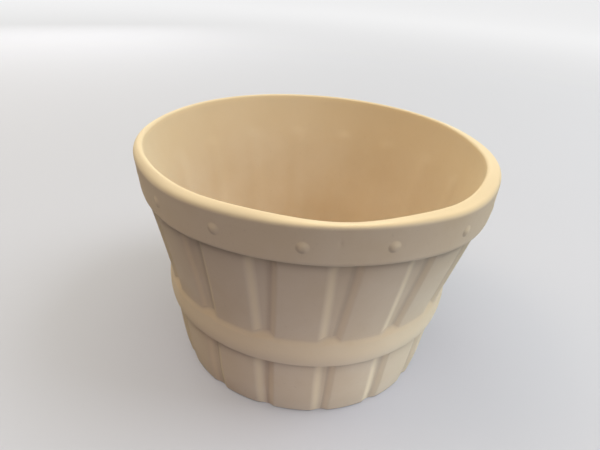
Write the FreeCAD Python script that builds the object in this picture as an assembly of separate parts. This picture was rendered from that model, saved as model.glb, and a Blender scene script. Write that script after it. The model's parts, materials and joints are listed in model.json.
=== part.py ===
import FreeCAD, Part
import math
import os

# A round planter cast in clay in the form of a slatted barrel: a flared pot with raised staves,
# a hoop round its waist and a studded band round its rim.
# Frame: +Z up along the pot's axis, origin at the centre of the face that it stands on, and a
# stave in the middle of the front, which faces -Y. Lengths are in millimetres.

# Overall form
rim_radius = 85.0
planter_height = 113.0
base_radius = 65.2
# Bends of the side, measured from a straight flare: it swells a little above the foot and is drawn in
# behind the hoop, at the hoop's bottom and more at its top
foot_bend_height = 9.0
foot_bend_outset = 0.4
waist_lower_inset = 1.3
waist_upper_inset = 2.5

# Pot wall and floor
wall_thickness = 4.6
foot_recess = 1.6
floor_thickness = 5.0
cove_radius = 5.0
cove_land = 0.5

# Staves
stave_count = 16
stave_relief = 1.4
groove_foot_width = 2.4
stave_edge_round = 1.2
foot_round = 1.1

# Hoop round the waist
hoop_bottom = 34.6
hoop_height = 14.0
hoop_lower_relief = 1.6
hoop_upper_relief = 1.0
hoop_ledge_rise = 0.4
hoop_top_round = 2.0
hoop_lower_round = 0.6

# Rim band with its lip
band_height = 19.0
band_draft = 1.5
band_relief = 1.6
band_lower_round = 0.7
lip_depth = 9.0
lip_width = 5.3
# The lip is level near the inside and falls from there to the band's outer edge
lip_land = 2.0
lip_fall = 1.6
lip_inner_round = 1.2
lip_outer_round = 1.0

# Stud heads on the rim band
stud_diameter = 5.2
stud_height = 0.6
stud_drop = 11.2

# Shares: a fillet keeps within these parts of the edge or ledge that it rounds
round_limit_share = 0.45
ledge_limit_share = 0.85

# Working values
overrun = 5.0
match = 0.001
full_turn = 360.0
stave_pitch = full_turn / stave_count
front_angle = -full_turn / 4
axis_point = FreeCAD.Vector(0, 0, 0)
axis_direction = FreeCAD.Vector(0, 0, 1)

# Heights that several pieces share
hoop_top = hoop_bottom + hoop_height
band_bottom = planter_height - band_height
seat_height = planter_height - lip_depth
rim_edge_height = planter_height - lip_fall
floor_top = foot_recess + floor_thickness
stud_height_on_band = planter_height - stud_drop

# Radii that several pieces share
band_lower_radius = rim_radius - band_draft
shoulder_radius = band_lower_radius - band_relief
straight_flare = (shoulder_radius - base_radius) / band_bottom
foot_bend_radius = base_radius + straight_flare * foot_bend_height + foot_bend_outset
waist_lower_radius = base_radius + straight_flare * hoop_bottom - waist_lower_inset
waist_upper_radius = base_radius + straight_flare * hoop_top - waist_upper_inset
side_bends = [
    (0, base_radius),
    (foot_bend_height, foot_bend_radius),
    (hoop_bottom, waist_lower_radius),
    (hoop_top, waist_upper_radius),
    (band_bottom, shoulder_radius),
    (rim_edge_height, rim_radius - band_relief),
]
# The inside follows the outside up to the hoop and flares evenly from there to the mouth
mouth_radius = rim_radius - lip_width
inside_bends = [(height, radius - stave_relief - wall_thickness) for height, radius in side_bends[:-2]]
inside_bends.append((planter_height, mouth_radius))


def radius_along(bends, height):
    """Radius at a height on a face that runs straight from bend to bend."""
    for (low, low_radius), (high, high_radius) in zip(bends, bends[1:]):
        if height <= high:
            break
    return low_radius + (high_radius - low_radius) * (height - low) / (high - low)


def stave_face(height):
    """Radius of the staves' outer face, and above them of the same face under the rim band."""
    return radius_along(side_bends, height)


def wall_face(height):
    """Radius of the pot wall's outer face, which shows in the grooves between staves."""
    return stave_face(height) - stave_relief


def inner_face(height):
    """Radius of the pot's inside."""
    return radius_along(inside_bends, height)


def band_face(height):
    """Radius of the rim band's outer face, widest at its upper edge."""
    return rim_radius - band_draft * (rim_edge_height - height) / (rim_edge_height - band_bottom)


def line_up(radius_at, low, high):
    """Points of a face from its low end to its high end, with the bends of the side between them."""
    bends = [height for height, _ in side_bends if low < height < high]
    return [(radius_at(height), height) for height in [low, *bends, high]]


def turned(outline):
    """Solid of revolution about the pot's axis from an outline of (radius, height) points."""
    points = [FreeCAD.Vector(radius, 0, height) for radius, height in outline]
    wire = Part.makePolygon(points + points[:1])
    return Part.Face(wire).revolve(axis_point, axis_direction, full_turn)


def ring_edge(shape, radius, height):
    """The round edges of a turned shape at one radius and height."""
    found = []
    for edge in shape.Edges:
        if isinstance(edge.Curve, Part.Circle):
            if abs(edge.Curve.Radius - radius) < match and abs(edge.Curve.Center.z - height) < match:
                found.append(edge)
    return found


def about_axis(shape, angle):
    """Copy of a shape turned about the pot's axis."""
    copy = shape.copy()
    copy.rotate(axis_point, axis_direction, angle)
    return copy


def stave_angles():
    """Angles of the staves from +X, the first at the front."""
    return [front_angle + number * stave_pitch for number in range(stave_count)]


def make_pot_wall():
    """The cup's side: a flared shell that stands on its foot and ends in the seat under the lip."""
    outside = line_up(wall_face, 0, seat_height)
    inside = line_up(inner_face, 0, seat_height)
    return turned(outside + inside[::-1])


def make_pot_floor():
    """The bottom disc, raised off the ground inside the foot, with a cove round its upper side."""
    cove_top = floor_top + cove_radius
    land_radius = inner_face(cove_top) - cove_land
    cove_start = FreeCAD.Vector(land_radius - cove_radius, 0, floor_top)
    cove_end = FreeCAD.Vector(land_radius, 0, cove_top)
    cove_middle = FreeCAD.Vector(
        land_radius - cove_radius + cove_radius * math.sin(math.pi / 4),
        0,
        cove_top - cove_radius * math.cos(math.pi / 4),
    )
    edge_points = [FreeCAD.Vector(r, 0, z) for r, z in line_up(inner_face, foot_recess, cove_top)]
    corners = [FreeCAD.Vector(0, 0, floor_top), FreeCAD.Vector(0, 0, foot_recess), *edge_points, cove_end]
    edges = [Part.LineSegment(a, b).toShape() for a, b in zip(corners, corners[1:])]
    edges.append(Part.Arc(cove_end, cove_middle, cove_start).toShape())
    edges.append(Part.LineSegment(cove_start, corners[0]).toShape())
    section = Part.Face(Part.Wire(edges))
    return section.revolve(axis_point, axis_direction, full_turn)


def stave_half_width():
    """Half the width of a stave at its back: the pitch at the foot, less the groove there."""
    return wall_face(0) * math.sin(math.pi / stave_count) - groove_foot_width / 2


def make_foot_trim():
    """Ring that is trimmed off round the staves' foot: all that is outside an arc from the ground up to
    their face. Its seam is on the far side."""
    size = min(foot_round, stave_relief * ledge_limit_share)
    inside = stave_face(0) - size
    outside = stave_face(size)
    reach = outside + overrun
    arc_start = FreeCAD.Vector(inside, 0, 0)
    arc_middle = FreeCAD.Vector(
        inside + (outside - inside) * math.sin(math.pi / 4),
        0,
        size - size * math.cos(math.pi / 4),
    )
    arc_end = FreeCAD.Vector(outside, 0, size)
    corners = [
        arc_end,
        FreeCAD.Vector(reach, 0, size),
        FreeCAD.Vector(reach, 0, -overrun),
        FreeCAD.Vector(inside, 0, -overrun),
        arc_start,
    ]
    edges = [Part.LineSegment(a, b).toShape() for a, b in zip(corners, corners[1:])]
    edges.append(Part.Arc(arc_start, arc_middle, arc_end).toShape())
    ring = Part.Face(Part.Wire(edges)).revolve(axis_point, axis_direction, full_turn)
    return about_axis(ring, full_turn / 2)


def make_stave():
    """A parallel-sided slat on the pot wall, on the +X side, that ends under the rim band. Its outer edges
    and its foot are rounded. The seam of the turned layer is on the far side, away from the slat."""
    layer = turned(line_up(wall_face, 0, band_bottom) + line_up(stave_face, 0, band_bottom)[::-1])
    layer = about_axis(layer, full_turn / 2)
    half_width = stave_half_width()
    slat = Part.makeBox(
        stave_face(band_bottom) + overrun,
        2 * half_width,
        band_bottom + 2 * overrun,
        FreeCAD.Vector(0, -half_width, -overrun),
    )
    stave = layer.common(slat)
    long_edges = []
    for edge in stave.Edges:
        ends = [vertex.Point for vertex in edge.Vertexes]
        on_face = all(abs(math.hypot(p.x, p.y) - stave_face(p.z)) < match for p in ends)
        if on_face and abs(ends[0].z - ends[-1].z) > match:
            long_edges.append(edge)
    rounded = stave.makeFillet(min(stave_edge_round, stave_relief - match), long_edges)
    return rounded.cut(make_foot_trim()).Solids[0]


def make_rim_band():
    """The band and its lip in one ring: it caps the wall, and the staves end at its underside."""
    skirt_inside = line_up(wall_face, band_bottom, seat_height)
    lip_inside = [(inner_face(seat_height), seat_height), (mouth_radius, planter_height)]
    lip_outside = [(mouth_radius + lip_land, planter_height), (rim_radius, rim_edge_height)]
    band = turned(skirt_inside + lip_inside + lip_outside + [(band_lower_radius, band_bottom)])
    inner_limit = lip_land * ledge_limit_share
    inner_edge = ring_edge(band, mouth_radius, planter_height)
    band = band.makeFillet(min(lip_inner_round, inner_limit), inner_edge)
    outer_limit = (lip_width - lip_land) * round_limit_share
    outer_edge = ring_edge(band, rim_radius, rim_edge_height)
    band = band.makeFillet(min(lip_outer_round, outer_limit), outer_edge)
    lower_limit = band_relief * round_limit_share
    lower_edge = ring_edge(band, band_lower_radius, band_bottom)
    return band.makeFillet(min(band_lower_round, lower_limit), lower_edge)


def make_middle_hoop(staves):
    """The hoop round the waist: its face stands steeper than the staves, so it fades into them at its
    rounded top and steps out from them below. Between the staves it reaches back to the wall."""
    lower_radius = stave_face(hoop_bottom) + hoop_lower_relief
    upper_radius = stave_face(hoop_top) + hoop_upper_relief
    inside = line_up(wall_face, hoop_bottom, hoop_top + hoop_ledge_rise)
    hoop = turned([(lower_radius, hoop_bottom), (upper_radius, hoop_top)] + inside[::-1])
    top_limit = (stave_relief + hoop_upper_relief) * ledge_limit_share
    hoop = hoop.makeFillet(min(hoop_top_round, top_limit), ring_edge(hoop, upper_radius, hoop_top))
    lower_limit = hoop_lower_relief * round_limit_share
    lower_edge = ring_edge(hoop, lower_radius, hoop_bottom)
    hoop = hoop.makeFillet(min(hoop_lower_round, lower_limit), lower_edge)
    return hoop.cut(staves)


def make_rim_stud():
    """A domed stud head on the rim band, on the +X side, its back shaped to the band's face."""
    ball_radius = (stud_diameter**2 / 4 + stud_height**2) / (2 * stud_height)
    ball_centre = band_face(stud_height_on_band) + stud_height - ball_radius
    ball = Part.makeSphere(ball_radius, FreeCAD.Vector(ball_centre, 0, stud_height_on_band))
    low, high = stud_height_on_band - ball_radius - overrun, stud_height_on_band + ball_radius + overrun
    core = turned([(0, low), (band_face(low), low), (band_face(high), high), (0, high)])
    return ball.cut(core).Solids[0]


def main():
    os.makedirs("parts", exist_ok=True)
    stave = make_stave()
    staves = [about_axis(stave, angle) for angle in stave_angles()]
    stud = make_rim_stud()
    studs = [about_axis(stud, angle) for angle in stave_angles()]
    pieces = {
        "pot_wall": make_pot_wall(),
        "pot_floor": make_pot_floor(),
        "rim_band": make_rim_band(),
        "middle_hoop": make_middle_hoop(staves),
    }
    for number, (slat, head) in enumerate(zip(staves, studs), 1):
        pieces[f"stave_{number:02d}"] = slat
        pieces[f"rim_stud_{number:02d}"] = head
    for name, shape in pieces.items():
        shape.exportStep(f"parts/{name}.step")
        print(f"{name}: {len(shape.Solids)} solid(s), {shape.Volume:.0f} mm3, valid {shape.isValid()}")


main()
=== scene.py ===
# %% [markdown]
# # A clay planter in the form of a slatted barrel
# The real planter is one slip casting. Liquid clay was poured into a plaster mould, and the staves, the
# hoop and the studded rim band are relief on the mould's wall. It was fired once and left bare, so it is
# the same matt cream all over. Here each part of that relief is a mesh of its own, and the meshes sink a
# little way into each other, so that together they read as one piece of clay.

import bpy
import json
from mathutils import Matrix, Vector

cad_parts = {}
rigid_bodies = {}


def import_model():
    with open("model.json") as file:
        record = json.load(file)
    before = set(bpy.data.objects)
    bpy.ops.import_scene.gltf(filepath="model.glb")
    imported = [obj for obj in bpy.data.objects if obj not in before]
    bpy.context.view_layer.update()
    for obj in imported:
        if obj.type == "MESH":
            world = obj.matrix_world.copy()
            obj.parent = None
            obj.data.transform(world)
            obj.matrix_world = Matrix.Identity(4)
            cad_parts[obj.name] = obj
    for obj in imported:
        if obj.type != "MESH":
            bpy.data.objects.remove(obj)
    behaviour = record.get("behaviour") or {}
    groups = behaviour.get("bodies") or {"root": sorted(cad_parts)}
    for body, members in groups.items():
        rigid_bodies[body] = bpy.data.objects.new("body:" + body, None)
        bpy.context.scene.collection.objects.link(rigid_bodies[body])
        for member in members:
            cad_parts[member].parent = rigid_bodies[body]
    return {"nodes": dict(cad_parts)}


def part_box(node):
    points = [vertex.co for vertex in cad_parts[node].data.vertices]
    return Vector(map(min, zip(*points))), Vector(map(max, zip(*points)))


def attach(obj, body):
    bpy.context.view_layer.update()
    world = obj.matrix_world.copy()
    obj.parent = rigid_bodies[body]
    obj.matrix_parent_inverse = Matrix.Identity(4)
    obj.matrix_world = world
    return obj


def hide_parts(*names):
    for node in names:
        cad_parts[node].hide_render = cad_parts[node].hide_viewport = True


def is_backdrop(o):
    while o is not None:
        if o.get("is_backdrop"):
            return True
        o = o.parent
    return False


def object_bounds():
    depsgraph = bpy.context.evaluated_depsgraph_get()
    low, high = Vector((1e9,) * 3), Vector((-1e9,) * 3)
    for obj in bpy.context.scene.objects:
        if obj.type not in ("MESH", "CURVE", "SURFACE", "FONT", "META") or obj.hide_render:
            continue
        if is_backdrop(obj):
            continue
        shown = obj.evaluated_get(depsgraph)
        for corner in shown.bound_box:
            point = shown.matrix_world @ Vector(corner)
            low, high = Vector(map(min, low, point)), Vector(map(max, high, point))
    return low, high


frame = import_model()
frame_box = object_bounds()
print("pieces in the frame:", len(frame["nodes"]))

# %% [markdown]
# ## Sizes
# A mould maker works from a few measured radii and heights. Most of them can be read off the boxes of
# the frame's pieces, so that the clay skin stays where the construction is. The few that a box can't
# give, such as how far the staves stand out, are written in millimetres.

# %% Heights and radii of the pot
import json
import math

import bpy
import numpy as np
from mathutils import Matrix, Vector

MM = 0.001
_, wall_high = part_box("pot_wall")
band_low, band_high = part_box("rim_band")
hoop_low, hoop_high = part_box("middle_hoop")
floor_low, floor_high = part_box("pot_floor")
stave_low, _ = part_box("stave_01")
stud_low, stud_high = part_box("rim_stud_01")

planter_height = band_high.z
seat_height = wall_high.z
rim_radius = band_high.x
shoulder_radius = -stave_low.y
stave_relief = 1.4 * MM
wall_thickness = 4.6 * MM
lip_width = 5.5 * MM
print(f"height {planter_height / MM:.1f} mm, rim {2 * rim_radius / MM:.1f} mm across,",
      f"shoulder {2 * shoulder_radius / MM:.1f} mm across")

# %% [markdown]
# ## The flare of the side
# Seen from the side the pot swells a little above its foot, is drawn in behind the hoop, and flares most
# from there up to the rim band. The mould maker draws this as straight lines and rubs their corners soft.
# A corner goes soft with the function ln(1 + e^x), which turns smoothly from a flat line to a sloping one.
# The inside follows the outside as far as the hoop and then opens evenly to the mouth, which was cut a
# little off centre.

# %% Radius of each skin against the height
bend_heights = np.array([0, 9 * MM, hoop_low.z, hoop_high.z, band_low.z, planter_height])
rim_bend = shoulder_radius + 1.6 * MM
bend_radii = np.array([65.3 * MM, 67.4 * MM, 70.1 * MM, 71.3 * MM, shoulder_radius, rim_bend])
face_softness = 2.5 * MM
inside_softness = 5 * MM


def soft_line(height, heights, radii, softness):
    """Radius on straight lines through the given heights and radii: the first flare, plus at each corner
    the change of flare times softness ln(1 + e^x), where x is the height above the corner over softness."""
    flares = np.diff(radii) / np.diff(heights)
    above = (np.asarray(height)[..., None] - heights[1:-1]) / softness
    first_line = radii[0] + flares[0] * (height - heights[0])
    return first_line + softness * np.logaddexp(0, above) @ np.diff(flares)


def stave_radius(height):
    """Radius of the staves' face: a soft line through the bends of the side."""
    return soft_line(height, bend_heights, bend_radii, face_softness)


def wall_radius(height):
    """Radius of the wall at the bottom of the grooves: the staves' face less their relief."""
    return stave_radius(height) - stave_relief


inside_heights = np.append(bend_heights[:4], planter_height)
inside_radii = np.append(bend_radii[:4] - stave_relief - wall_thickness, rim_radius - lip_width)
mouth_reach = 45 * MM
mouth_offset = 1.3 * MM
thin_angle = np.radians([-75])
thin_depth = np.array([1.0]) * MM
thin_half_width = math.radians(45)


def bells(angle, centres, depths, half_width):
    """Sum of bells round the pot: each is its depth times e^(-t^2), where t is the angle from its centre
    over the half width."""
    away = np.angle(np.exp(1j * (np.asarray(angle)[..., None] - centres)))
    return np.exp(-((away / half_width) ** 2)) @ depths


def inside_radius(height, angle=0.0):
    """Radius of the inside: a soft line up to the mouth. Near the mouth the wall is thicker on the right
    and thinner on the left, by a cosine of the angle, and thinner in front, by a bell."""
    near_mouth = np.clip(1 - (planter_height - height) / mouth_reach, 0, 1) ** 2
    thinner = bells(angle, thin_angle, thin_depth, thin_half_width) - mouth_offset * np.cos(angle)
    return soft_line(height, inside_heights, inside_radii, inside_softness) + thinner * near_mouth


flares = np.diff(bend_radii) / np.diff(bend_heights)
print("flares from the foot up:", flares.round(3), f"mouth {2 * inside_radii[-1] / MM:.1f} mm across")

# %% [markdown]
# ## The relief of the staves
# A stave is a slat with parallel sides. Plaster moulds have no sharp corners, so each flank is a soft
# S-curve: hollow at its foot, rounded at its shoulder. The classic curve for this is the smooth step,
# 3s² - 2s³. The right flank is the wider one. Every piece that touches the staves asks the same function
# how proud they stand, so that the hoop and the staves always meet.

# %% How far the staves stand out
stave_count = sum(name.startswith("stave_") for name in frame["nodes"])
stave_pitch = 2 * math.pi / stave_count
front = -math.pi / 2
stave_angles = front + stave_pitch * np.arange(stave_count)
left_flank = 3.8 * MM
right_flank = 5.2 * MM
stave_foot_half = 12.5 * MM
stave_widening = 0.4 * MM


def ease(share):
    """Smooth step: 0 up to 0, 1 from 1 on, and 3 s^2 - 2 s^3 between."""
    share = np.clip(share, 0, 1)
    return share * share * (3 - 2 * share)


def from_stave(angle):
    """Angle from the middle of the nearest stave: what is left after whole pitches from the front."""
    turns = (angle - front) / stave_pitch
    return (turns - np.round(turns)) * stave_pitch


def stave_half(height):
    """Half the width of a stave at its back, which grows a little towards the rim."""
    return stave_foot_half + stave_widening * height / band_low.z


def stave_share(across, height):
    """Share of its full relief that a stave has at a distance across it: a smooth step up each flank."""
    flank = np.where(across > 0, right_flank, left_flank)
    return ease((stave_half(height) - np.abs(across)) / flank)


def skin_radius(angle, height):
    """Radius of the wall and staves together: the wall plus the nearest stave's relief."""
    across = wall_radius(height) * np.sin(from_stave(angle))
    return wall_radius(height) + stave_relief * stave_share(across, height)


groove_top_half = wall_radius(band_low.z) * math.sin(stave_pitch / 2) - stave_half(band_low.z)
print(f"{stave_count} staves, grooves {2 * groove_top_half / MM:.1f} mm wide at the top")

# %% [markdown]
# ## What the hand leaves
# A casting is taken out of its mould soft, and it is never quite true again: its axis sways a little, and
# its faces roll by a tenth or two of a millimetre. One function moves every point of every piece, so that
# neighbours move together and no seam opens. It is a sum of a few slow waves up and round the pot. Each
# wave of the face has a strength, a count round the pot, a start, and a rise per radian.

# %% Slow waves over the whole pot
axis_sway = 0.38 * MM
sway_length = 115 * MM
face_roll = 0.12 * MM
face_waves = ((1.0, 5, 0.7, 31 * MM), (0.6, 9, 2.1, -17 * MM))


def settled(points):
    """Points after the casting has settled: a sway along X, one sine wave from the foot to the rim, and
    slow rolls of the face, as sines of the angle and the height."""
    x, y, z = np.moveaxis(points, -1, 0)
    angle = np.arctan2(y, x)
    roll = 0
    for strength, count, start, rise in face_waves:
        roll = roll + strength * np.sin(count * angle + start + z / rise)
    grow = 1 + face_roll * roll / rim_radius
    sway = -axis_sway * np.sin(2 * math.pi * z / sway_length)
    return np.stack([x * grow + sway, y * grow, z], -1)


print(f"the axis sways {axis_sway / MM:.2f} mm, and the faces roll {face_roll / MM:.2f} mm")

# %% [markdown]
# ## From a grid of points to a piece
# Every piece here is a grid: rows along one parameter, columns round another that closes on itself. If
# the rows close too, the piece is a ring, like the rim band. If they don't, each end is closed with a fan
# of triangles to its middle. The volume that the faces enclose comes out negative if they point inwards,
# and then the corners of each face are put in the other order.

# %% Faces of a grid, and the volume that they enclose
def grid_faces(rows, columns, ring):
    """Four-cornered faces of a grid whose columns close, and whose rows close too in a ring."""
    row, column = np.meshgrid(np.arange(rows if ring else rows - 1), np.arange(columns), indexing="ij")
    above, beside = (row + 1) % rows, (column + 1) % columns
    low, high = row * columns, above * columns
    return np.stack([low + column, low + beside, high + beside, high + column], -1).reshape(-1, 4)


def fan_faces(first, columns, middle, outward):
    """Triangles from the points of one row to a middle point, turned so that they continue the grid."""
    column = np.arange(columns)
    pair = [first + (column + 1) % columns, first + column]
    if outward:
        pair.reverse()
    return np.stack([*pair, np.full(columns, middle)], -1)


def enclosed_volume(points, triangles):
    """Volume inside a closed mesh: the sum of the signed tetrahedra from the origin to each triangle."""
    a, b, c = (points[triangles[:, corner]] for corner in range(3))
    return np.einsum("ij,ij->i", a, np.cross(b, c)).sum() / 6


# %% Mesh builder
SHARP = math.radians(38)


def clay_piece(name, grid, rub_and_painted_light, painted_shade, ring):
    """Mesh object from a grid of points, with two tones per point: wear and painted light, and painted
    shade.
    """
    rows, columns, _ = grid.shape
    points = settled(grid.reshape(-1, 3))
    tones = np.stack([np.broadcast_to(tone, (rows, columns)) for tone in (rub_and_painted_light, painted_shade)], -1)
    tones = tones.reshape(-1, 2)
    quads = grid_faces(rows, columns, ring)
    fans = np.empty((0, 3), int)
    if not ring:
        ends = [points[:columns].mean(0), points[-columns:].mean(0)]
        last = (rows - 1) * columns
        fans = np.concatenate([
            fan_faces(0, columns, len(points), False),
            fan_faces(last, columns, len(points) + 1, True),
        ])
        tones = np.concatenate([tones, tones[[0, last]]])
        points = np.concatenate([points, ends])
    halves = np.concatenate([quads[:, [0, 1, 2]], quads[:, [0, 2, 3]], fans])
    volume = enclosed_volume(points, halves)
    if volume < 0:
        quads, fans = quads[:, ::-1], fans[:, ::-1]
    mesh = bpy.data.meshes.new(name)
    mesh.from_pydata(points.tolist(), [], quads.tolist() + fans.tolist())
    mesh.shade_smooth()
    mesh.set_sharp_from_angle(angle=SHARP)
    for tone, values in zip(("rub_and_painted_light", "painted_shade"), tones.T):
        mesh.attributes.new(tone, "FLOAT", "POINT").data.foreach_set("value", values.astype(np.float32))
    piece = bpy.data.objects.new(name, mesh)
    bpy.context.scene.collection.objects.link(piece)
    print(f"{name}: {len(points)} points, {len(halves)} triangles, {abs(volume) / (10 * MM) ** 3:.1f} cm3")
    return piece


def round_the_axis(radius, angle, height):
    """Points at a radius, an angle and a height, as one array of x, y and z."""
    radius, angle, height = np.broadcast_arrays(radius, angle, height)
    return np.stack([radius * np.cos(angle), radius * np.sin(angle), height], -1)


# %% [markdown]
# ## Bisque: clay that was fired once
# Bare bisque is chalky. It scatters light evenly, shows hardly any shine, and its cream colour drifts a
# little in soft clouds where the clay dried sooner or later. Close up it has a fine tooth, faint marks of
# the wet sponge that wiped it round and round, and a pinhole here and there from an air bubble. Edges
# that hands rub are a touch paler. The same pale tone is also painted light on the lip, on the right flank
# of each stave and on the inside near the rim. A darker tone is painted shade: in corners, under the hoop
# and the band, up the left foot of each stave, under each stud, and deeper inside the pot. The clouds, the
# tooth and the pinholes are patterns in the object's own coordinates, so that they run on from one piece
# to the next. The pale tone, which is partly wear and partly painted light, and the painted shade are two
# tones that each mesh carries.

# %% Bisque material
cream = (0.80, 0.665, 0.475, 1)
warm_cream = (0.77, 0.625, 0.425, 1)
# The pale tone is wear and painted light; the dark one serves both the flecks and the painted shade.
wear_and_light_cream = (0.92, 0.765, 0.51, 1)
fleck_and_shade_cream = (0.52, 0.40, 0.27, 1)

clay = bpy.data.materials.new("bisque_clay")
clay.use_nodes = True
clay_nodes, clay_links = clay.node_tree.nodes, clay.node_tree.links
shader = clay_nodes["Principled BSDF"]
shader.inputs["Diffuse Roughness"].default_value = 0.7
shader.inputs["Specular IOR Level"].default_value = 0.22


def add_node(kind, **values):
    """New node in the clay's material, with values set on the sockets that are named."""
    node = clay_nodes.new(kind)
    for socket, value in values.items():
        node.inputs[socket.replace("_", " ")].default_value = value
    return node


def mix_colours(share, first, second):
    """Colour that goes from first to second as share goes from 0 to 1; each is a colour or a socket."""
    mix = clay_nodes.new("ShaderNodeMix")
    mix.data_type = "RGBA"
    for socket, value in ((mix.inputs[0], share), (mix.inputs[6], first), (mix.inputs[7], second)):
        if isinstance(value, bpy.types.NodeSocket):
            clay_links.new(value, socket)
        else:
            socket.default_value = value
    return mix.outputs[2]


def stretch(value, low, high, new_low, new_high):
    """Value moved from the range low to high into the range new_low to new_high, and kept inside it."""
    spread = add_node("ShaderNodeMapRange", From_Min=low, From_Max=high, To_Min=new_low, To_Max=new_high)
    clay_links.new(value, spread.inputs["Value"])
    return spread.outputs["Result"]


def sum_of(first, second):
    """Sum of two values."""
    plus = clay_nodes.new("ShaderNodeMath")
    clay_links.new(first, plus.inputs[0])
    clay_links.new(second, plus.inputs[1])
    return plus.outputs["Value"]


coordinates = clay_nodes.new("ShaderNodeTexCoord").outputs["Object"]
clouds = add_node("ShaderNodeTexNoise", Scale=38, Detail=4, Roughness=0.55)
flecks = add_node("ShaderNodeTexNoise", Scale=620, Detail=3, Roughness=0.6)
tooth = add_node("ShaderNodeTexNoise", Scale=2600, Detail=3, Roughness=0.6)
bubbles = add_node("ShaderNodeTexVoronoi", Scale=95)
sponge = add_node("ShaderNodeTexNoise", Scale=1, Detail=3, Roughness=0.5)
sponge_path = add_node("ShaderNodeMapping", Scale=(34, 34, 420))
for texture in (clouds, flecks, tooth, bubbles, sponge_path):
    clay_links.new(coordinates, texture.inputs["Vector"])
clay_links.new(sponge_path.outputs["Vector"], sponge.inputs["Vector"])

# %% Colour, roughness and tooth of the bisque
tones = {}
for tone in ("rub_and_painted_light", "painted_shade"):
    tones[tone] = clay_nodes.new("ShaderNodeAttribute")
    tones[tone].attribute_name = tone
colour = mix_colours(stretch(clouds.outputs["Fac"], 0.35, 0.68, 0, 1), cream, warm_cream)
colour = mix_colours(stretch(flecks.outputs["Fac"], 0.62, 0.78, 0, 0.2), colour, fleck_and_shade_cream)
# Paler by the first tone: worn edges and painted light.
colour = mix_colours(stretch(tones["rub_and_painted_light"].outputs["Fac"], 0, 1, 0, 0.8), colour, wear_and_light_cream)
# Darker by the second tone: painted shade.
colour = mix_colours(stretch(tones["painted_shade"].outputs["Fac"], 0, 1, 0, 0.8), colour, fleck_and_shade_cream)
clay_links.new(colour, shader.inputs["Base Color"])
clay_links.new(stretch(clouds.outputs["Fac"], 0.3, 0.7, 0.86, 0.95), shader.inputs["Roughness"])

pinholes = stretch(bubbles.outputs["Distance"], 0.02, 0.05, -0.8, 0)
grain = stretch(tooth.outputs["Fac"], 0.2, 0.8, 0, 0.35)
rough = sum_of(grain, stretch(sponge.outputs["Fac"], 0.2, 0.8, 0, 0.5))
rough = sum_of(rough, stretch(flecks.outputs["Fac"], 0.2, 0.8, 0, 0.3))
bump = add_node("ShaderNodeBump", Strength=0.35, Distance=0.12 * MM)
clay_links.new(sum_of(rough, pinholes), bump.inputs["Height"])
clay_links.new(bump.outputs["Normal"], shader.inputs["Normal"])
print("bisque material:", len(clay_nodes), "nodes")


# %% Give a piece its finish and its place in the frame
def fire(piece, node):
    """The piece takes the clay's finish, rides on the pot, and stands for its node of the frame."""
    piece.data.materials.append(clay)
    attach(piece, "root")
    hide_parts(node)


# %% [markdown]
# ## The shape of the rim band's face
# The face leans out a little from its lower edge to its upper one. In front its lower edge stands well
# out from the staves. At the two sides the soft clay sank: there the edge hangs lower, and it is rounded
# off so far that the band runs down into the staves almost without a step. All of this is made of bells
# round the pot, e^(-t²), where t is the angle from the middle of the sunken place over a width.

# %% The rim band's face and lower edge
lip_fall = 1.7 * MM
rim_edge_height = planter_height - lip_fall
band_draft = 1.5 * MM
sag_angles = np.radians([-30, -140])
sag_depths = np.array([3.2, 1.9]) * MM
sag_half_width = math.radians(26)
band_edge_round = 2.0 * MM
side_angles = np.radians([-20, -160])
side_half_width = math.radians(24)
side_leans = np.array([-0.5, 0.3]) * MM
side_rounds = np.array([5.0, 2.0]) * MM


def band_edge(angle):
    """Height of the rim band's lower edge: the band's foot less the sag at that angle."""
    return band_low.z - bells(angle, sag_angles, sag_depths, sag_half_width)


def band_radius(height, angle):
    """Radius of the rim band: a straight line from its lower edge to its upper one, which leans more or
    less at the two sides."""
    draft = band_draft + bells(angle, side_angles, side_leans, side_half_width)
    return rim_radius - draft * (rim_edge_height - height) / (rim_edge_height - band_low.z)


print(f"the band's edge sags to {band_edge(sag_angles).min() / MM:.1f} mm")

# %% [markdown]
# ## Painted shade in the corners
# Shade is painted darker up the left foot of each stave, on the side away from the light, and in the
# corners under the hoop and the band, where it draws a dark line that fades downwards. On the inside light
# is painted paler near the rim, and shade is painted darker further down. Both fade with a smooth step of
# the depth.

# %% Painted shade under the hoop and the band, and painted light and shade on the inside
corner_shade = 0.9
flank_foot_shade = 0.5
line_width = 1.1 * MM
hoop_shade_depth = 1.5 * MM
band_shade_depth = 1.8 * MM


def shade_below(height, edge, depth):
    """Painted shade in the corner under an edge: full at the edge and fading downwards as a bell of that
    depth.
    """
    return corner_shade * np.exp(-(((edge - height) / depth) ** 2)) * (height < edge + depth)


def side_shade(angle, height):
    """Painted shade on the side of the pot: the sum of that under the hoop, that under the rim band, and a
    line up the left foot of each stave, which is a bell of the distance from the foot."""
    under_hoop = shade_below(height, hoop_low.z, hoop_shade_depth)
    under_band = shade_below(height, band_edge(angle), band_shade_depth)
    past_foot = wall_radius(height) * np.sin(from_stave(angle)) + stave_half(height)
    return under_hoop + under_band + flank_foot_shade * np.exp(-((past_foot / line_width) ** 2))


rim_light_share = 0.7
rim_light_depth = 45 * MM
inside_shade = 0.22
inside_shade_depth = 80 * MM


def rim_painted_light(height):
    """How far light is painted on the inside at a height: full at the rim, nothing from its depth on."""
    return rim_light_share * (1 - ease((planter_height - height) / rim_light_depth))


def deep_shade(height):
    """Shade painted on the inside at a height: nothing at the rim and full from the shade's depth on."""
    return inside_shade * ease((planter_height - height) / inside_shade_depth)


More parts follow.
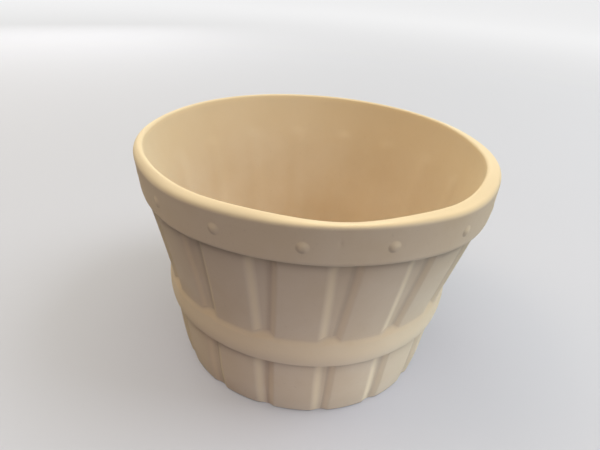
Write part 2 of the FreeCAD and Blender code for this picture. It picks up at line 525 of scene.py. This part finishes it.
# The depths printed here are those of the painted shade under the hoop and the band.
print(f"dust fades over {hoop_shade_depth / MM:.1f} mm under the hoop,",
      f"{band_shade_depth / MM:.1f} mm under the band")

# %% [markdown]
# ## The pot wall
# This is the cup that the relief stands on. Its outside shows at the bottom of the grooves and its
# inside shows whole. Clay settles on the mould in an even layer, so the inside repeats the outside in a
# blurred way: behind each groove a low rib runs up the wall and ends in a soft nose under the rim band.
# The section is a closed loop, carried once round the axis.

# %% Pot wall
wall_columns = 512
wall_foot_rows, wall_side_rows, lining_rows = 6, 40, 96
rib_height = 0.7 * MM
rib_half_width = 6.5 * MM
rib_top = band_low.z + 1.5 * MM
rib_nose = 7 * MM
rib_foot = 24 * MM
wall_foot_round = 0.8 * MM


def quarter_drop(height, size):
    """How far a rounded lower edge draws in at a height above it: a quarter circle of that size."""
    rest = np.clip(size - height, 0, size)
    return size - np.sqrt(size * size - rest * rest)


def rib_rise(angle, height):
    """How far the ribs stand into the pot: a bell across each groove's middle, faded at top and foot."""
    from_groove = from_stave(angle + stave_pitch / 2) * inside_radius(height, angle)
    bell = np.exp(-2 * (from_groove / rib_half_width) ** 2)
    faded = ease((rib_top - height) / rib_nose) * ease((height - floor_high.z) / rib_foot)
    return rib_height * bell * faded


angle = np.linspace(0, 2 * math.pi, wall_columns, endpoint=False)
foot_heights = wall_foot_round * np.linspace(0, 1, wall_foot_rows) ** 2
side_heights = np.linspace(wall_foot_round, seat_height, wall_side_rows)
outside_heights = np.concatenate([foot_heights, side_heights[1:]])
lining_heights = np.linspace(seat_height, 0, lining_rows)
outside = wall_radius(outside_heights) - quarter_drop(outside_heights, wall_foot_round)
loop_heights = np.concatenate([outside_heights, lining_heights])[:, None]
inside = inside_radius(lining_heights[:, None], angle) - rib_rise(angle, lining_heights[:, None])
loop_radii = np.concatenate([np.repeat(outside[:, None], wall_columns, 1), inside])
is_outside = (np.arange(len(loop_heights)) < len(outside_heights))[:, None]
# Outside: painted shade in the corners and up the stave feet. Inside: painted light near the rim and
# painted shade further down.
wall_shade = np.where(is_outside, side_shade(angle, loop_heights), deep_shade(loop_heights))
wall_painted_light = np.where(is_outside, 0, rim_painted_light(loop_heights))
grid = round_the_axis(loop_radii, angle, loop_heights)
pot_wall = clay_piece("clay_pot_wall", grid, wall_painted_light, wall_shade, True)
fire(pot_wall, "pot_wall")

# %% [markdown]
# ## The floor of the pot
# The floor is a disc that curves up into the wall, because slip leaves a thick soft corner there. It is
# a profile from the middle of its upper side, out and up the cove, and back under to the middle of its
# lower side, carried round the axis. The underside is raised, so the pot stands on its rim of clay alone.

# %% Pot floor
floor_columns = 192
cove_rows, flat_rows = 20, 26
floor_top = 6.6 * MM
floor_overlap = 0.3 * MM
cove = 9 * MM
cove_shade = 0.25
sunk = 0.012 * MM
cove_end = inside_radius(floor_top + cove) + sunk
turn = np.linspace(0, math.pi / 2, cove_rows)
cove_radii = cove_end - cove * (1 - np.sin(turn))
cove_heights = floor_top + cove * (1 - np.cos(turn))
flat_radii = np.linspace(0, cove_radii[0], flat_rows)[1:-1]
edge_radius = inside_radius(floor_low.z) + floor_overlap
under_radii = np.linspace(edge_radius, 0, flat_rows)[:-1]
profile_radii = np.concatenate([flat_radii, cove_radii, under_radii])[:, None]
profile_heights = np.concatenate([
    np.full(len(flat_radii), floor_top), cove_heights, np.full(len(under_radii), floor_low.z)])[:, None]
angle = np.linspace(0, 2 * math.pi, floor_columns, endpoint=False)
# The floor is painted darker as painted shade deep in the pot, and darker still in its cove.
from_cove = np.abs(profile_radii - cove_end + cove / 2)
floor_shade = np.maximum(inside_shade, cove_shade * ease(1 - from_cove / cove))
grid = round_the_axis(profile_radii, angle, profile_heights)
pot_floor = clay_piece("clay_pot_floor", grid, 0, floor_shade, False)
fire(pot_floor, "pot_floor")

# %% [markdown]
# ## The staves
# Each stave is a loop carried up the side: its face with two soft flanks in front, and a back that is
# buried in the wall. The face rounds under at the foot, where the caster trimmed the pot. One grid is
# worked out for a stave at angle 0 and then turned to each place round the pot. The flanks run out a
# hundredth of a millimetre under the wall, so no two surfaces lie in the same place.

# %% The section of a stave and the heights that it is carried to
stave_foot_round = 1.2 * MM
stave_end = band_low.z + 3 * MM
buried = 0.6 * MM
# The flanks are paler where worn, and the right flank, which faces the light, more so: wear and a painted
# highlight.
left_rub = 0.35
right_rub_and_highlight = 0.85
flank_points, face_points, back_points = 20, 20, 8
stave_foot_rows, stave_side_rows = 10, 72
flank = np.linspace(0, 1, flank_points)
left_share, right_share = left_flank / stave_foot_half, right_flank / stave_foot_half
across_share = np.concatenate([
    -1 + left_share * flank,
    np.linspace(-1 + left_share, 1 - right_share, face_points)[1:-1],
    1 - right_share * flank[::-1],
    np.linspace(1, -1, back_points + 2)[1:-1],
])
is_face = np.arange(len(across_share)) < len(across_share) - back_points
stave_heights = np.concatenate([
    stave_foot_round * (1 - np.cos(np.linspace(0, math.pi / 2, stave_foot_rows))),
    np.linspace(stave_foot_round, stave_end, stave_side_rows)[1:],
])[:, None]
print(f"a stave's section has {len(across_share)} points, at {len(stave_heights)} heights")

# %% Staves
across = across_share * stave_half(stave_heights)
share = stave_share(across, stave_heights)
foot_share = 1 - np.clip(quarter_drop(stave_heights, stave_foot_round) / stave_relief, 0, 1)
proud = np.where(is_face, stave_relief * share * foot_share - sunk, -buried)
flank_rub_and_highlight = np.where(across > 0, right_rub_and_highlight, left_rub)
stave_rub_and_highlight = np.where(is_face, flank_rub_and_highlight * 4 * share * (1 - share), 0)
stave_lever = wall_radius(stave_heights)
for number, stave_angle in enumerate(stave_angles, 1):
    angle = stave_angle + np.arcsin(across / stave_lever)
    grid = round_the_axis(stave_lever + proud, angle, stave_heights)
    # Painted shade up the left foot and under the hoop and the band.
    stave_shade = np.where(is_face, side_shade(angle, stave_heights), 0)
    stave = clay_piece(f"clay_stave_{number:02d}", grid, stave_rub_and_highlight, stave_shade, False)
    fire(stave, f"stave_{number:02d}")

# %% [markdown]
# ## The hoop round the waist
# The hoop steps out from the staves below, rolls back into them above, and its face is slightly round. In
# the grooves it fills the whole depth, and its top runs back and up to the wall as a small nose. So its
# radius is the skin of the pot plus a lift, and the lift fades out over a height that is longer in the
# grooves. Its lower edge is only a little rounded, and a small undercut keeps a thin line of shadow there.

# %% The hoop's face
hoop_columns = 1024
hoop_edge_rows, hoop_face_rows, hidden_rows = 8, 44, 8
hoop_edge_share = 0.06
hoop_lower_relief = 1.4 * MM
hoop_upper_relief = 0.4 * MM
hoop_belly = 0.85 * MM
hoop_edge_round = 0.8 * MM
hoop_undercut = 0.5 * MM
hoop_stave_fade = (hoop_high.z - 2.6 * MM, hoop_high.z + 1.2 * MM)
hoop_groove_fade = (hoop_high.z - 1.8 * MM, hoop_high.z + 2.6 * MM)


def hoop_radius(height):
    """Radius of the hoop's face: a straight line between its two reliefs, with a low arch over it."""
    share = (height - hoop_low.z) / (hoop_high.z - hoop_low.z)
    low_end = stave_radius(hoop_low.z) + hoop_lower_relief
    high_end = stave_radius(hoop_high.z) + hoop_upper_relief
    return low_end + (high_end - low_end) * share + hoop_belly * 4 * share * (1 - share)


angle = np.linspace(0, 2 * math.pi, hoop_columns, endpoint=False)
top_across = wall_radius(hoop_high.z) * np.sin(from_stave(angle))
on_stave = stave_share(top_across, hoop_high.z)
fade_start, top_end = (
    groove + (stave - groove) * on_stave for groove, stave in zip(hoop_groove_fade, hoop_stave_fade))
up = np.concatenate([
    hoop_edge_share * np.linspace(0, 1, hoop_edge_rows) ** 2,
    np.linspace(hoop_edge_share, 1, hoop_face_rows)[1:],
])[:, None]
face_heights = hoop_low.z + (top_end - hoop_low.z) * up
skin = skin_radius(angle, face_heights)
fade = 1 - ease((face_heights - fade_start) / (top_end - fade_start))
lift = (hoop_radius(face_heights) - skin) * fade
face_radii = skin + lift - sunk * (1 - fade) - quarter_drop(face_heights - hoop_low.z, hoop_edge_round)
print(f"the hoop's face reaches {face_radii.max() / MM:.1f} mm from the axis")

# %% Hoop
hoop_face_rub = 0.6
rub_middle, rub_reach = 0.45, 0.4
# The top of the hoop, where it runs into the staves, is painted darker as painted shade.
hoop_top_shade = 0.15
shade_start = 0.85
in_radii = wall_radius(face_heights) - buried
under_share = np.linspace(0, 1, hidden_rows, endpoint=False)[:, None]
under_radii = in_radii[0] + (face_radii[0] - in_radii[0]) * under_share
under_heights = hoop_low.z + hoop_undercut * (1 - under_share) * np.ones(hoop_columns)
back_rows = np.linspace(len(up) - 1, 2, hidden_rows).astype(int)
grid = round_the_axis(
    np.concatenate([under_radii, face_radii, in_radii[back_rows]]),
    angle,
    np.concatenate([under_heights, face_heights, face_heights[back_rows]]),
)
face_rub = hoop_face_rub * np.exp(-(((up - rub_middle) / rub_reach) ** 2))
face_shade = hoop_top_shade * ease((up - shade_start) / (1 - shade_start))
clean = np.zeros((hidden_rows, 1))
hoop_rub = np.concatenate([clean, face_rub, clean])
# The hoop's underside is painted darker as painted shade under the hoop.
hoop_shade = np.concatenate([clean + corner_shade, face_shade, clean])
middle_hoop = clay_piece("clay_middle_hoop", grid, hoop_rub, hoop_shade, True)
fire(middle_hoop, "middle_hoop")

# %% [markdown]
# ## The rim band and its lip
# The band caps the wall and its lip closes over the top. The lip was trimmed with a knife while the clay
# was soft, and then wiped. It is highest near the inside and falls to a rounded outer edge. Where the
# knife went deeper, the crest or the edge dips. The section is a few straight stretches with a quadratic
# curve round each corner: up the inside, over the crest, down the face, and round a soft lower edge into a
# small undercut that keeps a line of shadow. Near the front an air bubble left an oval pock, so the
# columns are closer together there.

# %% Columns of the rim band and the dips in its crest
band_columns = 512
pock_columns = 32
pock_angle = math.radians(-81.9)
pock_height = 104.4 * MM
pock_half_width = 0.9 * MM
pock_half_height = 1.4 * MM
pock_depth = 0.16 * MM
dip_angles = np.radians([-127, -80, -42, 4, 168])
dip_depths = np.array([1.1, 2.2, 2.1, 0.5, 0.5]) * MM
edge_dip_angles = np.radians([-135, -78, -38])
edge_dip_depths = np.array([1.4, -0.6, 1.5]) * MM
dip_half_width = math.radians(18)

pock_reach = 3 * pock_half_width / rim_radius
even = np.linspace(-math.pi, math.pi, band_columns, endpoint=False)
near_pock = np.linspace(pock_angle - pock_reach, pock_angle + pock_reach, pock_columns)
angle = np.unique(np.concatenate([even, near_pock]))


def crest_height(angle):
    """Height of the lip's crest: the rim's height less a bell at the angle of each dip."""
    return planter_height - bells(angle, dip_angles, dip_depths, dip_half_width)


lowest = crest_height(angle).min()
print(f"{len(angle)} columns, crest from {lowest / MM:.1f} to {planter_height / MM:.1f} mm")


# %% Stretches of a section
def corner(radius, height):
    """One corner of the section at every column: its radii and its heights."""
    return np.stack([radius + 0 * angle, height + 0 * angle])


def straight(start, end, count):
    """Points evenly from start towards end, which begins the next stretch."""
    share = np.linspace(0, 1, count, endpoint=False)[:, None, None]
    return start + (end - start) * share


def round_off(start, bend, end, count):
    """Quadratic curve that leaves start towards the bend and comes to end from it."""
    share = np.linspace(0, 1, count, endpoint=False)[:, None, None]
    return (1 - share) ** 2 * start + 2 * share * (1 - share) * bend + share**2 * end


# %% Corners of the rim band's section
lip_inner_round = 1.2 * MM
lip_outer_round = 2.0 * MM
lip_land = 1.7 * MM
band_undercut = 0.9 * MM

crest = crest_height(angle)
mouth = inside_radius(crest, angle)
inner_start = corner(inside_radius(seat_height, angle), seat_height)
inner_end = corner(inside_radius(crest - lip_inner_round, angle), crest - lip_inner_round)
crest_start = corner(mouth + lip_inner_round, crest)
crest_bend = corner(mouth + lip_land, crest)
edge_height = rim_edge_height - bells(angle, edge_dip_angles, edge_dip_depths, dip_half_width)
rim_edge = corner(rim_radius, edge_height)
crest_end = rim_edge + (crest_bend - rim_edge) * lip_outer_round / (rim_radius - mouth - lip_land)
face_top = edge_height - lip_outer_round
face_start = corner(band_radius(face_top, angle), face_top)
foot = band_edge(angle)
face_foot = foot + band_edge_round + bells(angle, side_angles, side_rounds, side_half_width)
face_end = corner(band_radius(face_foot, angle), face_foot)
foot_bend = corner(band_radius(foot, angle), foot)
under_start = corner(band_radius(foot, angle) - band_edge_round, foot + band_undercut / 3)
under_end = corner(wall_radius(foot) - buried, foot + band_undercut)
hidden_top = seat_height - buried
hidden_out = corner(wall_radius(seat_height) - buried, hidden_top)
hidden_in = corner(wall_radius(seat_height) - wall_thickness / 2, hidden_top)
lip = rim_radius - mouth
print(f"the lip is {lip.min() / MM:.1f} to {lip.max() / MM:.1f} mm wide")

# %% Rim band
stretches = [
    straight(inner_start, inner_end, 12),
    round_off(inner_end, corner(mouth, crest), crest_start, 14),
    round_off(crest_start, crest_bend, crest_end, 20),
    round_off(crest_end, rim_edge, face_start, 14),
    straight(face_start, face_end, 40),
    round_off(face_end, foot_bend, under_start, 14),
    straight(under_start, under_end, 8),
    straight(under_end, hidden_out, 3),
    straight(hidden_out, hidden_in, 2),
    straight(hidden_in, inner_start, 1),
]
rows_up_to = np.cumsum([len(points) for points in stretches])
inner_rows, _, _, rim_rows, face_rows, edge_rows = rows_up_to[:6]
radii, heights = np.moveaxis(np.concatenate(stretches), 1, 0)
row = np.arange(len(heights))[:, None]
on_face = (row >= rim_rows) & (row < edge_rows)
aside = rim_radius * (angle - pock_angle) / pock_half_width
above = (heights - pock_height) / pock_half_height
pock = pock_depth * np.exp(-(aside**2) - above**2) * on_face
# The lip is paler partly as wear and partly as painted light on its top; the inside takes painted light
# near the rim.
lip_rub_and_light = ease((heights - face_top) / lip_fall)
band_rub_and_light = np.maximum(lip_rub_and_light, np.where(row < inner_rows, rim_painted_light(heights), 0))
# Painted shade deeper inside, and on the band's lower edge and undercut, as painted shade under the band.
band_shade = np.where(row < inner_rows, deep_shade(heights), 0)
band_shade = np.where(row > (face_rows + edge_rows) // 2, corner_shade, band_shade)
grid = round_the_axis(radii - pock, angle, heights)
rim_band = clay_piece("clay_rim_band", grid, band_rub_and_light, band_shade, True)
fire(rim_band, "rim_band")

# %% [markdown]
# ## The studs on the band
# A barrel's hoop is nailed to its staves, and the mould maker cut a small hollow for each nail head. In
# clay the heads come out as low soft domes. They were set by eye, so those in front lie up to two and a
# half millimetres off their places, and two at the sides are flatter. Shade is painted under each head, on
# the lower left, away from the light. Each is a grid of rings and spokes: a dome whose height is (1 - u²)²,
# which leaves the band without a crease, and a flat back inside the band.

# %% The shape of a stud
stud_reach = 2.9 * MM
stud_rise = 0.5 * MM
stud_spokes, dome_rings, back_rings = 40, 16, 4
first_ring, last_ring = 0.04, 0.2
top_rub = 0.3
head_shade = 0.6
shade_ring, shade_reach = 0.7, 0.25
stud_height = (stud_low.z + stud_high.z) / 2
spoke = np.linspace(0, 2 * math.pi, stud_spokes, endpoint=False)
dome_share = np.linspace(first_ring, 1, dome_rings)
back_share = np.linspace(1, last_ring, back_rings)
ring_share = np.concatenate([dome_share, back_share])[:, None]
is_dome = (np.arange(len(ring_share)) < dome_rings)[:, None]
dome = np.where(is_dome, stud_rise * (1 - ring_share**2) ** 2 - sunk, -buried)
stud_across = stud_reach * ring_share * np.cos(spoke)
stud_rises = stud_height + stud_reach * ring_share * np.sin(spoke)
stud_rub = np.where(is_dome, top_rub * (1 - ring_share**2), 0)
# Painted shade on the lower left of each head, away from the light.
lower_left = math.radians(225)
shade_side = ease(np.cos(spoke - lower_left))
near_ring = np.exp(-(((ring_share - shade_ring) / shade_reach) ** 2))
stud_shade = np.where(is_dome, head_shade * shade_side * near_ring, 0)
print(f"a stud is {2 * stud_reach / MM:.1f} mm across and {stud_rise / MM:.1f} mm high")

# %% Studs
usual_drift = (-1, 0)
stud_drift = {16: (-1.3, 0.9), 1: (-1.0, 0.7), 2: (-1.2, 0.7), 3: (1.5, -0.9), 4: (0, -2.5)}
flat_studs = (4, 14)
flat_share = 0.4
for number, stave_angle in enumerate(stave_angles, 1):
    aside, above = stud_drift.get(number, usual_drift)
    heights = stud_rises + above * MM
    angle = stave_angle + (stud_across + aside * MM) / rim_radius
    radius = band_radius(heights, angle)
    rise = np.where(is_dome, dome * (flat_share if number in flat_studs else 1), dome)
    grid = round_the_axis(radius + rise, angle, heights)
    stud = clay_piece(f"clay_rim_stud_{number:02d}", grid, stud_rub, stud_shade, False)
    fire(stud, f"rim_stud_{number:02d}")

# %% [markdown]
# ## A pale floor to stand on
# The floor is one large plane. To the camera it is pale, with a faint glow that grows with the distance
# from the pot, so that it stays pale beyond the reach of the lamps. To light that bounces it is darker, so
# that the pot's side isn't washed out from below: the Light Path node tells the two apart, and glossy and
# transmitted rays count with the camera's.

# %% Floor
floor_reach = 8
floor_drop = 0.02 * MM
corners = floor_reach * np.array([[-1, -1, 0], [1, -1, 0], [1, 1, 0], [-1, 1, 0]]) - [0, 0, floor_drop]
floor_mesh = bpy.data.meshes.new("studio_floor")
floor_mesh.from_pydata(corners.tolist(), [], [[0, 1, 2, 3]])
studio_floor = bpy.data.objects.new("studio_floor", floor_mesh)
bpy.context.scene.collection.objects.link(studio_floor)
studio_floor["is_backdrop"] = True
print("the floor is", 2 * floor_reach, "m across")


# %% Paper of the floor
def seen_directly(nodes, links):
    """Value that is 1 for rays that show the background: the largest of the flags for rays from the camera,
    mirrored rays and rays that passed through glass."""
    rays = nodes.new("ShaderNodeLightPath")
    total = rays.outputs["Is Camera Ray"]
    for kind in ("Is Glossy Ray", "Is Transmission Ray"):
        either = nodes.new("ShaderNodeMath")
        either.operation = "MAXIMUM"
        links.new(total, either.inputs[0])
        links.new(rays.outputs[kind], either.inputs[1])
        total = either.outputs["Value"]
    return total


pale_floor = (0.52, 0.52, 0.57, 1)
bounce_floor = (0.26, 0.255, 0.30, 1)
paper = bpy.data.materials.new("floor_paper")
paper.use_nodes = True
paper_nodes, paper_links = paper.node_tree.nodes, paper.node_tree.links
paper_shader = paper_nodes["Principled BSDF"]
paper_shader.inputs["Roughness"].default_value = 0.9
paper_shader.inputs["Specular IOR Level"].default_value = 0.1
paper_mix = paper_nodes.new("ShaderNodeMix")
paper_mix.data_type = "RGBA"
paper_mix.inputs[6].default_value = bounce_floor
paper_mix.inputs[7].default_value = pale_floor
seen = seen_directly(paper_nodes, paper_links)
paper_links.new(seen, paper_mix.inputs[0])
paper_links.new(paper_mix.outputs[2], paper_shader.inputs["Base Color"])
studio_floor.data.materials.append(paper)

# %% Glow of the floor
glow_reach = 1.9
near_glow, far_glow = 0.13, 0.8
from_pot = paper_nodes.new("ShaderNodeVectorMath")
from_pot.operation = "LENGTH"
paper_links.new(paper_nodes.new("ShaderNodeTexCoord").outputs["Object"], from_pot.inputs[0])
paper_glow = paper_nodes.new("ShaderNodeMapRange")
paper_glow.interpolation_type = "SMOOTHSTEP"
for socket, value in (("From Max", glow_reach), ("To Min", near_glow), ("To Max", far_glow)):
    paper_glow.inputs[socket].default_value = value
paper_links.new(from_pot.outputs["Value"], paper_glow.inputs["Value"])
glow_if_seen = paper_nodes.new("ShaderNodeMath")
glow_if_seen.operation = "MULTIPLY"
paper_links.new(seen, glow_if_seen.inputs[0])
paper_links.new(paper_glow.outputs["Result"], glow_if_seen.inputs[1])
paper_links.new(glow_if_seen.outputs["Value"], paper_shader.inputs["Emission Strength"])
print("floor paper:", len(paper_nodes), "nodes")

# %% [markdown]
# ## Light
# A wide soft panel hangs over the pot and lights its lip and its inside. Smaller ones a metre up add a
# cool light from the right, a warm one from the left and a weak one from the front, so that one flank of
# each groove is bright and the other dark. Two small cards near the table brighten the foot and the hoop
# at the right, as a photographer's reflectors do. They light the clay alone, so that they leave no bright
# spots on the floor. A weak lamp keeps the back from going black. An area lamp of power P at a distance d
# gives a surface that faces it P / (pi d)², as a share of the light at which a colour renders as it is
# written, so each lamp's power is worked out from the share that it should give.

# %% Lamps
def soft_lamp(name, place, size, share, tint, aim_height=planter_height / 2):
    """Square area lamp at a place, turned to the pot's axis at a height. Its power is the share that it
    gives there, times the square of pi times its distance."""
    reach = Vector((0, 0, aim_height)) - Vector(place)
    lamp = bpy.data.lights.new(name, "AREA")
    lamp.size = size
    lamp.energy = share * (math.pi * reach.length) ** 2
    lamp.color = tint
    holder = bpy.data.objects.new(name, lamp)
    holder.location = place
    holder.visible_camera = False
    holder.rotation_euler = reach.to_track_quat("-Z", "Y").to_euler()
    bpy.context.scene.collection.objects.link(holder)
    print(f"{name}: {lamp.energy:.2f} W")
    return holder


soft_lamp("wide_panel", (0, 0, 1.05), size=1.4, share=0.92, tint=(0.98, 1.0, 0.83))
soft_lamp("right_panel", (0.7, 0, 1.0), size=0.6, share=0.47, tint=(0.90, 0.95, 1.0))
soft_lamp("left_panel", (-0.7, 0, 1.0), size=0.6, share=0.20, tint=(1.0, 0.78, 0.54))
soft_lamp("front_panel", (0, -0.7, 1.0), size=0.6, share=0.11, tint=(1.0, 0.80, 1.0))
soft_lamp("back_light", (-0.60, 0.90, 0.45), size=0.6, share=0.12, tint=(1.0, 0.98, 0.95))

# %% Cards
card_size = 50 * MM
card_aim = 30 * MM
cards = [
    soft_lamp("right_card", (0.115, -0.135, 0.02), card_size, 0.16, (0.55, 0.80, 1.0), card_aim),
    soft_lamp("front_card", (0.05, -0.165, 0.02), card_size, 0.07, (1.0, 0.82, 1.0), card_aim),
]
clay_only = bpy.data.collections.new("clay_only")
for clay_mesh in [piece for piece in bpy.context.scene.objects if piece.name.startswith("clay_")]:
    clay_only.objects.link(clay_mesh)
for card in cards:
    card.light_linking.receiver_collection = clay_only

# %% [markdown]
# ## What is round the pot
# Beyond the floor the camera sees a pale backdrop. The pot gets hardly any light from it, so that the
# lamps alone shape the clay. The Standard view transform keeps colours as they are written.

# %% World
backdrop_light = 0.02
backdrop_shown = 0.85
backdrop_colour = (0.97, 0.98, 1, 1)
world = bpy.data.worlds.new("studio")
world.use_nodes = True
bpy.context.scene.world = world
sky_nodes, sky_links = world.node_tree.nodes, world.node_tree.links
sky = sky_nodes["Background"]
sky.inputs["Color"].default_value = backdrop_colour
sky_level = sky_nodes.new("ShaderNodeMapRange")
sky_level.inputs["To Min"].default_value = backdrop_light
sky_level.inputs["To Max"].default_value = backdrop_shown
sky_links.new(seen_directly(sky_nodes, sky_links), sky_level.inputs["Value"])
sky_links.new(sky_level.outputs["Result"], sky.inputs["Strength"])
bpy.context.scene.view_settings.view_transform = "Standard"
print(f"the backdrop shows at {backdrop_shown} and lights at {backdrop_light}")

# %% [markdown]
# ## The camera
# The photograph was taken by hand, from a little above the rim, looking down and slightly tilted. The
# camera's place is given as a distance from the middle of the rim and an angle above it. From there it
# first looks at the rim's middle, and is then turned aside, turned down and rolled.

# %% Camera at the photograph's viewing angle
camera_distance = 2.819 * rim_radius
camera_rise = math.radians(18.6325)
camera_round = math.radians(0.92)
camera_aside = math.radians(-1.2457)
camera_down = math.radians(-10.2309)
camera_roll = math.radians(4.4518)
camera_lens = 29.435

level = Matrix.Rotation(camera_round, 3, "Z")
place = camera_distance * Vector((0, -math.cos(camera_rise), math.sin(camera_rise)))
ahead = -place.normalized()
right = Vector((1, 0, 0))
over = right.cross(ahead)
side = right * math.cos(camera_aside) - ahead * math.sin(camera_aside)
forth = right * math.sin(camera_aside) + ahead * math.cos(camera_aside)
look = over * math.sin(camera_down) + forth * math.cos(camera_down)
lifted = over * math.cos(camera_down) - forth * math.sin(camera_down)
across_view = side * math.cos(camera_roll) + lifted * math.sin(camera_roll)
up_view = lifted * math.cos(camera_roll) - side * math.sin(camera_roll)
axes = level @ Matrix((across_view, up_view, -look)).transposed()

camera_data = bpy.data.cameras.new("camera")
camera_data.lens = camera_lens
camera_data.sensor_fit = "HORIZONTAL"
camera_data.sensor_width = 36
camera_data.clip_start = 0.01
camera = bpy.data.objects.new("camera", camera_data)
camera.matrix_world = Matrix.Translation(level @ place + Vector((0, 0, planter_height))) @ axes.to_4x4()
bpy.context.scene.collection.objects.link(camera)
bpy.context.scene.camera = camera
print("camera at", [round(value, 4) for value in camera.location])

# %% [markdown]
# The clay skin has to stay the size of the construction. Both boxes are written side by side, so that
# they can be compared.

# %% Write the two boxes and finish
piece_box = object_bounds()
for label, box in (("frame", frame_box), ("pieces", piece_box)):
    print(label, [[round(value / MM, 2) for value in corner] for corner in box])
